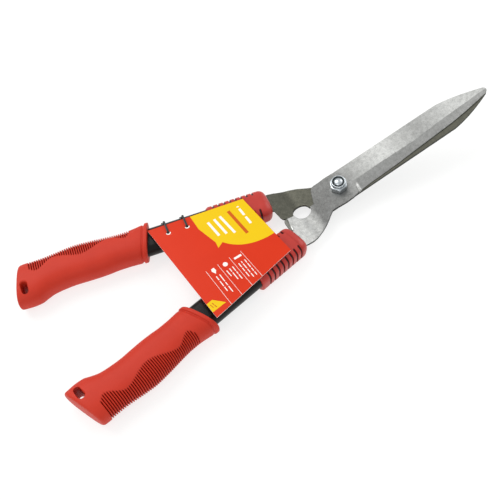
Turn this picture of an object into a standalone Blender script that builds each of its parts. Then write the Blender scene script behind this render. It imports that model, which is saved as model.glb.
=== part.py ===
"""Garden hedge shear, closed, lying on its grips and collars.

Metres, +Z up, +X toward the blade tips, z = 0 the table. The handles lie level. The blades are cranked:
their plane rises CRANK toward the tips, so the pivot axis leans back by the same angle.
"blade frame" below means origin at the pivot between the two blades, z along the pivot axis.
"handle frame" means s along a handle's axis from its collar, t outward from that axis.
"""

import math

import bmesh
import bpy
import numpy as np
from mathutils import Matrix, Vector

for old in list(bpy.data.objects):
    bpy.data.objects.remove(old, do_unlink=True)

MM = 0.001
GAP = 0.3 * MM

# whole
SHIFT_X = 70.45 * MM             # puts the middle of the length at x = 0
PIVOT_Z = 18.0 * MM              # pivot's height, measured between the two blades
CRANK = math.radians(10.9)
SPLAY = math.radians(10.7)       # each handle from the centre line
COLLAR_X, COLLAR_Y = -76.0 * MM, 27.4 * MM   # where a handle's axis starts
AXIS_Z = 14.3 * MM               # height of the handles' axis

# blades
PLATE = 3.0 * MM
SPINE = 18.2 * MM
EDGE = 16.0 * MM
TIP = 204.9 * MM
BEND_X = -53.0 * MM
TANG_HALF = 11.3 * MM
TANG_END = 56.0 * MM
BEVEL_TOP = 3.6 * MM             # bevel's upper line from the centre line
EDGE_THICK = 0.5 * MM
ROLL_AT, ROLL_RUN, ROLL_DROP = 16.9 * MM, 8.0 * MM, 3.2 * MM   # finger's rolled rear edge, from the bend

# pivot
BOLT_R = 5.0 * MM
BORE_R = 5.1 * MM
HEX_AF = 17.0 * MM

# handles
TUBE_HALF_W, TUBE_HALF_H, TUBE_WALL = 15.2 * MM, 8.0 * MM, 1.5 * MM
TUBE_START, TUBE_END = 7.0 * MM, 246.0 * MM
COLLAR_FRONT, COLLAR_REAR = -5.0 * MM, 63.0 * MM
COLLAR_HALF_W, COLLAR_HALF_H, COLLAR_ROUND = 17.3 * MM, 12.8 * MM, 7.0 * MM
SLOTS, SLOT_FIRST, SLOT_PITCH, SLOT_WIDTH, SLOT_DEPTH = 8, 11.4 * MM, 6.3 * MM, 1.7 * MM, 1.2 * MM
RIVETS_AT = (24.0 * MM, 46.0 * MM)
RIVET_R, RIVET_HEAD_R, RIVET_HEAD_H = 2.5 * MM, 4.0 * MM, 1.1 * MM
HOLE_S, HOLE_T, HOLE_HALF_T, HOLE_R = 257.6 * MM, -13.6 * MM, 3.2 * MM, 4.2 * MM
RIBS, RIB_FIRST, RIB_PITCH, RIB_WIDTH = 47, 147.0 * MM, 2.2 * MM, 1.0 * MM

# card and ties
CARD_THICK = 0.6 * MM
CARD_LIFT, CARD_LIFT_Y, CARD_SLOPE = 26.75 * MM, 42.0 * MM, 0.034
TIES_AT = (89.7 * MM, 109.8 * MM)
TIE_HOLE_T, TIE_EDGE_T = -4.2 * MM, 9.5 * MM
TIE_THICK, TIE_WIDE = 1.1 * MM, 2.6 * MM

PARTS = bpy.data.collections.new("hedge_shear")
CUTTERS = bpy.data.collections.new("cutters")
bpy.context.scene.collection.children.link(PARTS)
bpy.context.scene.collection.children.link(CUTTERS)

BLADE_FRAME = Matrix.Translation((SHIFT_X, 0, PIVOT_Z)) @ Matrix.Rotation(-CRANK, 4, "Y")


def handle_frame(side):
    """side +1 is the handle at +Y. x = s along the axis, y = t outward, z up from the axis."""
    along = Vector((-math.cos(SPLAY), side * math.sin(SPLAY), 0))
    out = Vector((math.sin(SPLAY), side * math.cos(SPLAY), 0))
    frame = Matrix.Identity(4)
    frame.col[0][:3], frame.col[1][:3], frame.col[2][:3] = along, out, (0, 0, 1)
    frame.translation = (COLLAR_X + SHIFT_X, side * COLLAR_Y, AXIS_Z)
    return frame


def material(name, colour, metallic, roughness):
    mat = bpy.data.materials.new(name)
    mat.use_nodes = True
    shader = mat.node_tree.nodes["Principled BSDF"]
    shader.inputs["Base Color"].default_value = (*colour, 1)
    shader.inputs["Metallic"].default_value = metallic
    shader.inputs["Roughness"].default_value = roughness
    return mat


STEEL = (0.42, 0.42, 0.40)
DARK_STEEL = (0.20, 0.20, 0.17)
ZINC = (0.60, 0.63, 0.66)
BLACK = (0.02, 0.02, 0.02)
RED = (0.60, 0.06, 0.05)
DARK_RED = (0.50, 0.05, 0.06)


def place(mesh, name, frame, look, rounded=False, cutter=False):
    """Mesh data to a named object. A frame that mirrors is put into the points, as is any mirror."""
    if frame.determinant() < 0:
        flip = Matrix.Diagonal((1, -1, 1, 1))
        mesh.transform(flip)
        mesh.flip_normals()
        frame = frame @ flip
    obj = bpy.data.objects.new(name, mesh)
    obj.matrix_world = frame
    (CUTTERS if cutter else PARTS).objects.link(obj)
    if cutter:
        obj.hide_render = True
        obj.display_type = "WIRE"
    else:
        mesh.materials.clear()
        mesh.materials.append(material(name + "_look", *look))
    if rounded:
        mesh.shade_smooth()
        mesh.set_sharp_from_angle(angle=math.radians(35))
    return obj


def cut(obj, cutter, operation="DIFFERENCE"):
    mod = obj.modifiers.new(operation.lower(), "BOOLEAN")
    mod.operation, mod.solver, mod.object = operation, "EXACT", cutter


def prism(outlines, low, high):
    """Closed outlines in XY, filled and extruded from low to high. A second outline is a hole."""
    curve = bpy.data.curves.new("outline", "CURVE")
    curve.dimensions, curve.fill_mode, curve.extrude = "2D", "BOTH", (high - low) / 2
    for points in outlines:
        spline = curve.splines.new("POLY")
        spline.points.add(len(points) - 1)
        for point, (x, y) in zip(spline.points, points):
            point.co = (x, y, 0, 1)
        spline.use_cyclic_u = True
    holder = bpy.data.objects.new("outline", curve)
    bpy.context.scene.collection.objects.link(holder)
    bpy.context.view_layer.update()
    mesh = bpy.data.meshes.new_from_object(holder.evaluated_get(bpy.context.evaluated_depsgraph_get()))
    bpy.data.objects.remove(holder, do_unlink=True)
    mesh.transform(Matrix.Translation((0, 0, (low + high) / 2)))
    shape = bmesh.new()
    shape.from_mesh(mesh)
    bmesh.ops.remove_doubles(shape, verts=shape.verts, dist=1e-6)
    bmesh.ops.recalc_face_normals(shape, faces=shape.faces)
    shape.to_mesh(mesh)
    shape.free()
    return mesh


def boxes(items):
    """One mesh of boxes, each (centre, size) or (centre, size, turn about z)."""
    shape = bmesh.new()
    for centre, size, *turn in items:
        where = Matrix.Translation(centre) @ Matrix.Rotation(turn[0] if turn else 0.0, 4, "Z")
        bmesh.ops.create_cube(shape, size=1, matrix=where @ Matrix.Diagonal((*size, 1)))
    mesh = bpy.data.meshes.new("boxes")
    shape.to_mesh(mesh)
    shape.free()
    return mesh


def turned(profile, name, frame, look, steps=40, ring=False, cutter=False):
    """(radius, height) points at +X, down the outer side from top to bottom, turned about z by a Screw.
    A ring's profile is a loop. Any other starts and ends on the axis, so it closes on itself."""
    count = len(profile)
    mesh = bpy.data.meshes.new(name)
    edges = [(i, i + 1) for i in range(count - 1)] + ([(count - 1, 0)] if ring else [])
    mesh.from_pydata([(r, 0, z) for r, z in profile], edges, [])
    obj = place(mesh, name, frame, look, cutter=cutter)
    screw = obj.modifiers.new("turned", "SCREW")
    screw.axis, screw.angle, screw.screw_offset = "Z", 2 * math.pi, 0
    screw.steps = screw.render_steps = steps
    screw.use_merge_vertices, screw.merge_threshold = True, 1e-6
    screw.use_smooth_shade = True
    return obj


def arc(centre, radii, start, end, count):
    turn = [math.radians(start + (end - start) * i / (count - 1)) for i in range(count)]
    return [(centre[0] + radii[0] * math.cos(a), centre[1] + radii[1] * math.sin(a)) for a in turn]


def curve3(a, b, c, count):
    """Quadratic curve from a to c, pulled toward b."""
    out = []
    for i in range(count):
        t = i / (count - 1)
        out.append(tuple((1 - t) ** 2 * p + 2 * t * (1 - t) * q + t * t * r for p, q, r in zip(a, b, c)))
    return out


def mm(points):
    return [(x * MM, y * MM) for x, y in points]


def flat_oval(half_w, half_h, count=9):
    """Two half circles joined by straight lines."""
    c = half_w - half_h
    return (arc((c, 0), (half_h, half_h), -90, 90, count)
            + arc((-c, 0), (half_h, half_h), 90, 270, count))


# ---------------------------------------------------------------- blades
def to_blade(x, y, z):
    """World millimetres, measured from the pivot's foot, to the blade frame's."""
    c, s = math.cos(CRANK), math.sin(CRANK)
    lift = z - PIVOT_Z / MM
    return x * c + lift * s, y, -x * s + lift * c


def tang_point(s, t):
    x = COLLAR_X / MM - s * math.cos(SPLAY) + t * math.sin(SPLAY)
    y = COLLAR_Y / MM + s * math.sin(SPLAY) + t * math.cos(SPLAY)
    bx, by, _ = to_blade(x, y, AXIS_Z / MM)
    return bx, by


def blade_outline(side):
    """Plan of the blade whose shank goes to the side's handle. Written for -Y and mirrored for +Y."""
    half = TANG_HALF / MM
    edge = [(13.5, -18.6), (20, -17.0), (31, -16.3), (44, -EDGE / MM), (70, -15.3), (90, -14.1), (110, -13.1),
            (130, -12.1), (148, -11.1), (160, -9.9), (170, -8.8), (180, -7.4), (190, -5.8), (197, -4.5), (203.0, -3.1)]
    tip = [(204.5, -2.1), (TIP / MM, -0.9), (204.6, 1.6)]
    spine = curve3((203.4, 3.2), (170, 15.8), (146, SPINE / MM), 9)
    corner = [(-20.4, SPINE / MM), (-23.6, 17.4), (-26.4, 14.8), (-33.6, -0.4)]
    notch = [(x, y) for x, y in arc((-48.6, -0.4), (10.0, 8.3), 0, -180, 11)]
    finger = [(-69.0, -0.4), (-71.6, -1.2), (-72.8, -3.6), (-73.6, -15.4)]
    x0, y0 = tang_point(2.5, -half)
    x1, y1 = tang_point(TANG_END / MM, -half)
    x2, y2 = tang_point(TANG_END / MM, half)
    x3, y3 = tang_point(-1.0, half)
    tang = [(x0, -y0), (x1, -y1), (x2, -y2), (x3, -y3)]
    outer = [(-67.0, -38.6), (-60, -37.9), (-52.6, -35.8), (-43.5, -32.3), (-34.5, -27.6), (-26.8, -22.3),
             (-22.4, -19.7), (-14.0, -19.9), (-5.0, -20.6), (5.0, -20.2)]
    points = edge + tip + spine + corner + notch + finger + tang + outer
    if side > 0:
        points = [(x, -y) for x, y in points][::-1]
    return mm(points)


def ramp(level):
    """The plate's direction from its bend up to the handle, (x, z)."""
    bx, _, bz = to_blade(COLLAR_X / MM - 4.0, 0, AXIS_Z / MM)
    run = math.hypot(bx - BEND_X / MM, bz - level)
    return (bx - BEND_X / MM) / run, (bz - level) / run


def plate_profile(level):
    """Side view of a bent plate, (x, z) in the blade frame: flat, ramp up to the handle, level tang."""
    far = 150.0
    bx0, _, bz0 = to_blade(COLLAR_X / MM - 4.0, 0, AXIS_Z / MM)
    bx1, _, bz1 = to_blade(COLLAR_X / MM - far, 0, AXIS_Z / MM)
    bend = BEND_X / MM
    flat = (bend + 7.0, level)
    up = ramp(level)
    first = curve3(flat, (bend, level), (bend + 7 * up[0], level + 7 * up[1]), 6)
    level_dir = ((bx1 - bx0) / math.hypot(bx1 - bx0, bz1 - bz0), (bz1 - bz0) / math.hypot(bx1 - bx0, bz1 - bz0))
    second = curve3((bx0 - 4 * up[0], bz0 - 4 * up[1]), (bx0, bz0), (bx0 + 4 * level_dir[0], bz0 + 4 * level_dir[1]), 4)
    line = [(240.0, level)] + first + second + [(bx1, bz1)]
    half = PLATE / MM / 2
    upper, lower = [], []
    for i, (x, z) in enumerate(line):
        a, b = line[max(i - 1, 0)], line[min(i + 1, len(line) - 1)]
        dx, dz = b[0] - a[0], b[1] - a[1]
        size = math.hypot(dx, dz)
        nx, nz = dz / size, -dx / size
        upper.append((x + nx * half, z + nz * half))
        lower.append((x - nx * half, z - nz * half))
    return mm(upper + lower[::-1])


def blade(name, side, level, look):
    up = 1 if level > 0 else -1
    plan = place(prism([blade_outline(side)], -20 * MM, 45 * MM), name, BLADE_FRAME, look)
    strip = prism([plate_profile(level)], -80 * MM, 80 * MM)
    strip.transform(Matrix.Rotation(math.pi / 2, 4, "X"))
    cut(plan, place(strip, name + "_plate", BLADE_FRAME, None, cutter=True), "INTERSECT")
    # wedge that grinds the outer face down to the cutting edge
    face = abs(level) + PLATE / MM / 2
    edge_z = abs(level) - PLATE / MM / 2 + EDGE_THICK / MM
    fall = (face - edge_z) / (EDGE / MM - BEVEL_TOP / MM)
    y0, y1 = BEVEL_TOP / MM - 4, EDGE / MM + 16
    wedge = [(y0, face + 4 * fall), (y1, face - (y1 - BEVEL_TOP / MM) * fall), (y1, face + 9), (y0, face + 9)]
    wedge = [(side * y, up * z) for y, z in wedge]
    mesh = prism([mm(wedge)], 14.6 * MM, 230 * MM)
    mesh.transform(Matrix(((0, 0, 1, 0), (1, 0, 0, 0), (0, 1, 0, 0), (0, 0, 0, 1))))
    cut(plan, place(mesh, name + "_bevel", BLADE_FRAME, None, cutter=True))
    # the finger's rear edge is rolled over toward the other blade's plane
    ux, uz = ramp(level)
    nx, nz = up * uz, -up * ux
    half, at, run, drop = PLATE / MM / 2, ROLL_AT / MM, ROLL_RUN / MM, ROLL_DROP / MM
    roll = [(BEND_X / MM + a * ux + b * nx, level + a * uz + b * nz)
            for a, b in ((at, half), (at + run, half - drop), (at + run, half + 8), (at, half + 8))]
    low, high = (-15.0, 1.0) if side > 0 else (-1.0, 15.0)
    mesh = prism([mm(roll)], low * MM, high * MM)
    mesh.transform(Matrix.Rotation(math.pi / 2, 4, "X"))
    cut(plan, place(mesh, name + "_roll", BLADE_FRAME, None, cutter=True))
    bore = prism([arc((0, 0), (BORE_R, BORE_R), 0, 350, 36)], -30 * MM, 30 * MM)
    cut(plan, place(bore, name + "_bore", BLADE_FRAME, None, cutter=True))
    for k, at in enumerate(RIVETS_AT):
        pin = prism([arc((at, 0), (RIVET_R + GAP, RIVET_R + GAP), 0, 345, 24)], -20 * MM, 20 * MM)
        cut(plan, place(pin, f"{name}_rivet_bore_{k}", handle_frame(side), None, cutter=True))
    return plan


LEVEL = (PLATE / 2 + GAP / 2) / MM
lower_blade = blade("lower_blade", 1, -LEVEL, (DARK_STEEL, 1, 0.45))
upper_blade = blade("upper_blade", -1, LEVEL, (STEEL, 1, 0.35))

# ---------------------------------------------------------------- pivot
face = PLATE + GAP / 2                      # outer face of each blade from the pivot
HEX_R = HEX_AF / 2 / math.cos(math.pi / 6)


def hexagon(phase=30.0):
    return arc((0, 0), (HEX_R, HEX_R), phase, phase + 300, 6)


washer_low = -face - GAP - 2.0 * MM
place(prism([arc((0, 0), (9.2 * MM, 9.2 * MM), 8, 346, 40) + arc((0, 0), (5.6 * MM, 5.6 * MM), 346, 8, 40)],
            washer_low, -face - GAP), "spring_washer", BLADE_FRAME, (ZINC, 1, 0.4))

head_top = washer_low - GAP
bolt_top = face + 11.9 * MM
dome = [(0, bolt_top)] + [(BOLT_R * math.sin(a), bolt_top - 2.6 * MM * (1 - math.cos(a)))
                          for a in (math.radians(d) for d in (18, 36, 54, 72, 90))]
bolt = turned(dome + [(BOLT_R, head_top - 3 * MM), (0, head_top - 3 * MM)], "pivot_bolt", BLADE_FRAME,
              (ZINC, 1, 0.35))
head = place(prism([hexagon()], head_top - 6.4 * MM, head_top), "bolt_head", BLADE_FRAME, None, cutter=True)
cut(bolt, head, "UNION")

nut_low = face + GAP
nut_hex_top, nut_top = nut_low + 8.0 * MM, nut_low + 10.4 * MM
nut = place(prism([hexagon()], nut_low, nut_hex_top), "pivot_nut", BLADE_FRAME, (ZINC, 1, 0.3))
ring = [(0, nut_top), (7.1 * MM, nut_top), (8.0 * MM, nut_top - 0.9 * MM), (8.0 * MM, nut_hex_top - 2 * MM),
        (0, nut_hex_top - 2 * MM)]
cut(nut, turned(ring, "nut_ring", BLADE_FRAME, None, cutter=True), "UNION")
bore = [(0, nut_top + MM), (6.1 * MM, nut_top + MM), (6.1 * MM, nut_top - 0.3 * MM), (6.9 * MM, nut_top - 0.7 * MM),
        (6.9 * MM, nut_hex_top), (BOLT_R + GAP, nut_hex_top), (BOLT_R + GAP, nut_low - MM), (0, nut_low - MM)]
cut(nut, turned(bore, "nut_bore", BLADE_FRAME, None, cutter=True))
insert = [(BOLT_R + GAP, nut_top - 1.1 * MM), (6.6 * MM, nut_top - 1.1 * MM), (6.6 * MM, nut_hex_top + GAP),
          (BOLT_R + GAP, nut_hex_top + GAP)]
turned(insert, "nut_insert", BLADE_FRAME, ((0.55, 0.6, 0.65), 0, 0.5), ring=True)

# ---------------------------------------------------------------- handles
# grip rings: s at t = 0, centre t, half width, half height, all mm
GRIP_RINGS = [
    (131.0, 0.8, 19.4, 13.8), (131.6, 0.8, 20.2, 14.6), (134.0, 0.8, 20.2, 14.6), (134.8, 0.8, 19.6, 14.1),
    (135.4, 0.7, 18.5, 13.0), (137.0, 0.7, 18.5, 13.0), (137.8, 0.7, 19.2, 14.2), (144.0, 0.5, 18.5, 14.4),
    (152.0, 0.3, 17.8, 14.5), (161.0, 0.3, 17.7, 14.6), (171.0, 0.3, 18.4, 14.7), (182.0, 0.8, 19.2, 14.8),
    (194.0, 1.6, 19.7, 14.8), (207.0, 2.3, 19.9, 14.8), (219.0, 1.5, 19.8, 14.8), (228.0, 0.2, 19.9, 14.8),
    (235.0, -1.7, 21.0, 14.8), (241.0, -3.3, 22.3, 14.8), (249.0, -3.7, 22.7, 14.8), (256.5, -3.4, 22.6, 14.7),
    (259.8, -3.3, 22.2, 14.4), (261.4, -3.3, 21.2, 13.4), (262.0, -3.3, 19.6, 12.0),
]
SHEAR_FRONT, SHEAR_REAR = -0.33, -0.22      # the ends slant: the outer side sits nearer the blades


def shear(s):
    k = min(max((s - 131) / 131, 0), 1)
    return SHEAR_FRONT + (SHEAR_REAR - SHEAR_FRONT) * k


def grip_mesh(side_points=28, power=2.5):
    """Loft of slanted superellipse rings, flattened where it would pass below the table."""
    shape = bmesh.new()
    rings = []
    for s, centre, half_w, half_h in GRIP_RINGS:
        ring = []
        for i in range(side_points):
            a = 2 * math.pi * i / side_points
            c, d = math.cos(a), math.sin(a)
            t = centre + half_w * math.copysign(abs(c) ** (2 / power), c)
            z = half_h * math.copysign(abs(d) ** (2 / power), d)
            z = max(z, -AXIS_Z / MM)
            ring.append(shape.verts.new(((s + shear(s) * t) * MM, t * MM, z * MM)))
        rings.append(ring)
    for one, two in zip(rings, rings[1:]):
        for i in range(side_points):
            j = (i + 1) % side_points
            shape.faces.new((one[i], one[j], two[j], two[i]))
    shape.faces.new(rings[0][::-1])
    shape.faces.new(rings[-1])
    bmesh.ops.recalc_face_normals(shape, faces=shape.faces)
    mesh = bpy.data.meshes.new("grip")
    shape.to_mesh(mesh)
    shape.free()
    return mesh


def outer_edge(s):
    """t of the grip's outer edge at s."""
    near = [(s0 + shear(s0) * (centre + half_w), centre + half_w) for s0, centre, half_w, _ in GRIP_RINGS]
    return float(np.interp(s / MM, [n[0] for n in near], [n[1] for n in near])) * MM


def rounded_block(half_s, half_t, half_z, round_by, segments=3):
    """A block with all its edges rounded."""
    shape = bmesh.new()
    bmesh.ops.create_cube(shape, size=2, matrix=Matrix.Diagonal((half_s, half_t, half_z, 1)))
    bmesh.ops.bevel(shape, geom=shape.verts[:] + shape.edges[:], offset=round_by, segments=segments,
                    profile=0.5, affect="EDGES")
    bmesh.ops.recalc_face_normals(shape, faces=shape.faces)
    mesh = bpy.data.meshes.new("block")
    shape.to_mesh(mesh)
    shape.free()
    return mesh


def oval_prism(half_w, half_h, start, end, hole=None):
    """Oval section across the handle, extruded along it."""
    outlines = [flat_oval(half_w, half_h)] + ([flat_oval(*hole)] if hole else [])
    mesh = prism(outlines, start, end)
    mesh.transform(Matrix(((0, 0, 1, 0), (1, 0, 0, 0), (0, 1, 0, 0), (0, 0, 0, 1))))
    return mesh


def handle(side, tag):
    frame = handle_frame(side)
    tube = place(oval_prism(TUBE_HALF_W, TUBE_HALF_H, TUBE_START, TUBE_END,
                            (TUBE_HALF_W - TUBE_WALL, TUBE_HALF_H - TUBE_WALL)),
                 "tube_" + tag, frame, (BLACK, 0.3, 0.35), rounded=True)
    for k, at in enumerate(RIVETS_AT):
        pin = prism([arc((at, 0), (RIVET_R + GAP, RIVET_R + GAP), 0, 345, 24)], -20 * MM, 20 * MM)
        cut(tube, place(pin, f"tube_{tag}_bore_{k}", frame, None, cutter=True))
        out = TUBE_HALF_H + GAP
        top = out + RIVET_HEAD_H
        rivet = [(0, top), (RIVET_HEAD_R - 0.8 * MM, top), (RIVET_HEAD_R, out), (RIVET_R, out), (RIVET_R, -out),
                 (RIVET_HEAD_R, -out), (RIVET_HEAD_R - 0.8 * MM, -top), (0, -top)]
        turned(rivet, f"tang_rivet_{tag}_{k + 1}", frame @ Matrix.Translation((at, 0, 0)), (ZINC, 1, 0.4), 24)

    # collar: rounded block over the tube's front end, open at the rear, its underside on the table
    drop = COLLAR_HALF_H - AXIS_Z
    middle = (COLLAR_FRONT + COLLAR_REAR) / 2
    half_s = (COLLAR_REAR - COLLAR_FRONT) / 2
    block = rounded_block(half_s, COLLAR_HALF_W, COLLAR_HALF_H, COLLAR_ROUND, 5)
    block.transform(Matrix.Translation((middle, 0, drop)))
    collar = place(block, "collar_" + tag, frame, (DARK_RED, 0, 0.45), rounded=True)
    cavity = oval_prism(TUBE_HALF_W + GAP, TUBE_HALF_H + GAP, TUBE_START - GAP, COLLAR_REAR + 5 * MM)
    cut(collar, place(cavity, f"collar_{tag}_cavity", frame, None, cutter=True))
    heads = boxes([(((RIVETS_AT[0] - 6 * MM + COLLAR_REAR + 5 * MM) / 2, 0, 0),
                    (COLLAR_REAR + 5 * MM - RIVETS_AT[0] + 6 * MM, 2 * RIVET_HEAD_R + 1.2 * MM,
                     2 * (TUBE_HALF_H + RIVET_HEAD_H + 3 * GAP)))])
    cut(collar, place(heads, f"collar_{tag}_channel", frame, None, cutter=True))
    mouth = boxes([((0, 0, -2.5 * MM), (30 * MM, 2 * TANG_HALF + 4.6 * MM, 10.4 * MM))])
    cut(collar, place(mouth, f"collar_{tag}_mouth", frame, None, cutter=True))
    slits = []
    for k in range(SLOTS):
        at = SLOT_FIRST + k * SLOT_PITCH
        for edge in (-1, 1):
            slits.append(((at, edge * COLLAR_HALF_W, drop), (SLOT_WIDTH, 13 * MM, 3 * COLLAR_HALF_H)))
    slits = place(boxes(slits), f"collar_{tag}_slits", frame, None, cutter=True)
    core = rounded_block(half_s, COLLAR_HALF_W - SLOT_DEPTH, COLLAR_HALF_H - SLOT_DEPTH,
                         COLLAR_ROUND - SLOT_DEPTH, 5)
    core.transform(Matrix.Translation((middle, 0, drop)))
    cut(slits, place(core, f"collar_{tag}_core", frame, None, cutter=True))
    cut(collar, slits)

    grip = place(grip_mesh(), "grip_" + tag, frame, (RED, 0, 0.6), rounded=True)
    bore = oval_prism(TUBE_HALF_W + GAP, TUBE_HALF_H + GAP, 100 * MM, TUBE_END + GAP)
    cut(grip, place(bore, f"grip_{tag}_bore", frame, None, cutter=True))
    slot = (arc((HOLE_S, HOLE_T + HOLE_HALF_T), (HOLE_R, HOLE_R), 0, 180, 9)
            + arc((HOLE_S, HOLE_T - HOLE_HALF_T), (HOLE_R, HOLE_R), 180, 360, 9))
    slot = place(prism([slot], -30 * MM, 30 * MM), f"grip_{tag}_hang_hole", frame, None, cutter=True)
    cut(grip, slot)
    ribs = []
    for k in range(RIBS):
        at = RIB_FIRST + k * RIB_PITCH
        ribs.append(((at, outer_edge(at) + 4.7 * MM, 0.5 * MM), (RIB_WIDTH, 12 * MM, 17 * MM)))
    cut(grip, place(boxes(ribs), f"grip_{tag}_ribs", frame, None, cutter=True))


handle(1, "a")
handle(-1, "b")

# ---------------------------------------------------------------- card
CARD = [(-201.2, 57.0), (-98.2, 38.5), (-93.9, -42.9), (-194.2, -67.2)]


def card_height(y):
    return CARD_LIFT + (CARD_LIFT_Y - y) * CARD_SLOPE


turn = math.atan(CARD_SLOPE)
card_frame = Matrix.Translation((SHIFT_X, 0, card_height(0))) @ Matrix.Rotation(-turn, 4, "X")
corners = [(x * MM, y * MM / math.cos(turn)) for x, y in CARD]


def tie_spot(s, t):
    """Handle a's frame to the card's."""
    world = handle_frame(1) @ Vector((s, t, 0))
    return world.x - SHIFT_X, world.y / math.cos(turn)


card = place(prism([corners], -CARD_THICK / 2, CARD_THICK / 2), "card", card_frame, ((0.8, 0.07, 0.03), 0, 0.4))
for k, at in enumerate(TIES_AT):
    x, y = tie_spot(at, TIE_HOLE_T)
    hole = prism([arc((x, y), (2.8 * MM, 2.8 * MM), 0, 340, 18)], -5 * MM, 5 * MM)
    cut(card, place(hole, f"card_hole_{k}", card_frame, None, cutter=True))

# ---------------------------------------------------------------- cable ties
for k, at in enumerate(TIES_AT):
    frame = handle_frame(1)
    y_hole = (frame @ Vector((at, TIE_HOLE_T, 0))).y
    top = card_height(y_hole - 6 * MM) + CARD_THICK / 2 + GAP - AXIS_Z
    w, h = TUBE_HALF_W + GAP, TUBE_HALF_H + GAP
    inside = [(TIE_EDGE_T, top), (TIE_HOLE_T, top), (TIE_HOLE_T - 0.6 * MM, h + 1.2 * MM)]
    round_in = arc((-(w - h), 0), (h, h), 100, 260, 9)
    round_out = arc((w - h, 0), (h, h), -80, 60, 9)
    loop = inside + round_in + round_out
    centre = np.mean(loop, axis=0)
    outside = []
    n = len(loop)
    for i in range(n):
        a, b = np.array(loop[i - 1]), np.array(loop[(i + 1) % n])
        d = (b - a) / np.linalg.norm(b - a)
        normal = np.array((d[1], -d[0]))
        p = np.array(loop[i])
        if normal @ (p - centre) < 0:
            normal = -normal
        outside.append(tuple(p + normal * TIE_THICK))
    mesh = prism([outside, loop], at - TIE_WIDE / 2, at + TIE_WIDE / 2)
    mesh.transform(Matrix(((0, 0, 1, 0), (1, 0, 0, 0), (0, 1, 0, 0), (0, 0, 0, 1))))
    tie = place(mesh, f"cable_tie_{k + 1}", frame, (BLACK, 0, 0.5))
    head = boxes([((at, TUBE_HALF_W + GAP + 2.0 * MM, 1.5 * MM), (5.4 * MM, 4.0 * MM, 5.2 * MM))])
    head = place(head, f"cable_tie_head_{k + 1}", frame, None, cutter=True)
    cut(tie, head, "UNION")

# ---------------------------------------------------------------- joint
# everything that turns with handle b hangs from an empty on the pivot's axis
joint = bpy.data.objects.new("pivot_joint", None)
joint.matrix_world = BLADE_FRAME
PARTS.objects.link(joint)
bpy.context.view_layer.update()
for name in ("upper_blade", "tube_b", "tang_rivet_b_1", "tang_rivet_b_2", "collar_b", "grip_b"):
    piece = bpy.data.objects[name]
    piece.parent = joint
    piece.matrix_parent_inverse = joint.matrix_world.inverted()
bpy.context.view_layer.update()
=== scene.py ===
# %% [markdown]
# # A garden hedge shear, finished piece by piece
# The shear lies closed on its two grips. A printed card is tied to one handle, as in a shop.
# A measured CAD model of it is already packed, and gives each part's place. This lesson builds the
# surfaces that the eye sees: soft grips with fine ribs, slotted collars, ground blades, a lock nut,
# and the card. Each one is a formula on a grid of points, worked out with numpy.

import math

import bpy
import numpy as np
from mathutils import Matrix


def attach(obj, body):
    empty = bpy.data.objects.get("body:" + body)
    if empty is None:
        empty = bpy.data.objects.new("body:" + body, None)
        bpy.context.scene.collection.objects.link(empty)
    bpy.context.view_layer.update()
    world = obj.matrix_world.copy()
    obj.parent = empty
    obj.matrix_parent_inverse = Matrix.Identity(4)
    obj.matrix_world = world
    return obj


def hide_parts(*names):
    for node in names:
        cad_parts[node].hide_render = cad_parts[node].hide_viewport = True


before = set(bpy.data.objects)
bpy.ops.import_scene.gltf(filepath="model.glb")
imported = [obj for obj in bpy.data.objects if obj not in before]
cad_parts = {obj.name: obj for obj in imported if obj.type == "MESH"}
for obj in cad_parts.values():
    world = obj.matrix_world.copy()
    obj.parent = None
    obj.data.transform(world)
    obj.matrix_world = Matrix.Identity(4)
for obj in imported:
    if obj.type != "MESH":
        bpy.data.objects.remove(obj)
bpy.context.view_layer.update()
MM = 0.001

# %% [markdown]
# ## Camera, floor and light
# The camera stands on the -x and -y side and looks down at the shear, which fills the picture from
# corner to corner. The floor is a plain white sweep that glows a little, as a lit studio table
# does, so that shadows stay pale. Three wide soft lights give the steel something to reflect. The
# Standard view keeps printed inks as saturated as they are, where AgX would fade them.

# %% Camera
camera_data = bpy.data.cameras.new("camera")
camera_data.lens, camera_data.sensor_width = 44.94, 36.0
camera_data.clip_start = 0.01
camera = bpy.data.objects.new("camera", camera_data)
camera.location = (-0.24095, -0.3028, 0.5461)
camera.rotation_euler = (math.radians(33.09), 0.0, math.radians(-33.07))
bpy.context.scene.collection.objects.link(camera)
bpy.context.scene.camera = camera
print("camera is", round(camera.location.length, 3), "m from the middle of the shear")


# %% Small helpers for colours and nodes
def linear(code):
    """sRGB hex to linear light: each channel is divided by 12.92 near black, and raised to 2.4 above."""
    c = np.array([int(code[i:i + 2], 16) for i in (1, 3, 5)]) / 255
    return (*np.where(c < 0.04045, c / 12.92, ((c + 0.055) / 1.055) ** 2.4), 1.0)


def node(tree, kind, inputs=None, **settings):
    """Adds one node, sets its properties, and fills or links its inputs by name or number."""
    made = tree.nodes.new(kind)
    for key, value in settings.items():
        setattr(made, key, value)
    for key, value in (inputs or {}).items():
        if isinstance(value, bpy.types.NodeSocket):
            tree.links.new(value, made.inputs[key])
        else:
            made.inputs[key].default_value = value
    return made


def material(name, colour, metallic, roughness, **more):
    """A new material with plain values on its shader. Returns it with its tree and shader."""
    made = bpy.data.materials.new(name)
    made.use_nodes = True
    shader = made.node_tree.nodes["Principled BSDF"]
    shader.inputs["Base Color"].default_value = linear(colour)
    shader.inputs["Metallic"].default_value = metallic
    shader.inputs["Roughness"].default_value = roughness
    for key, value in more.items():
        shader.inputs[key.replace("_", " ")].default_value = value
    return made, made.node_tree, shader


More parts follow.
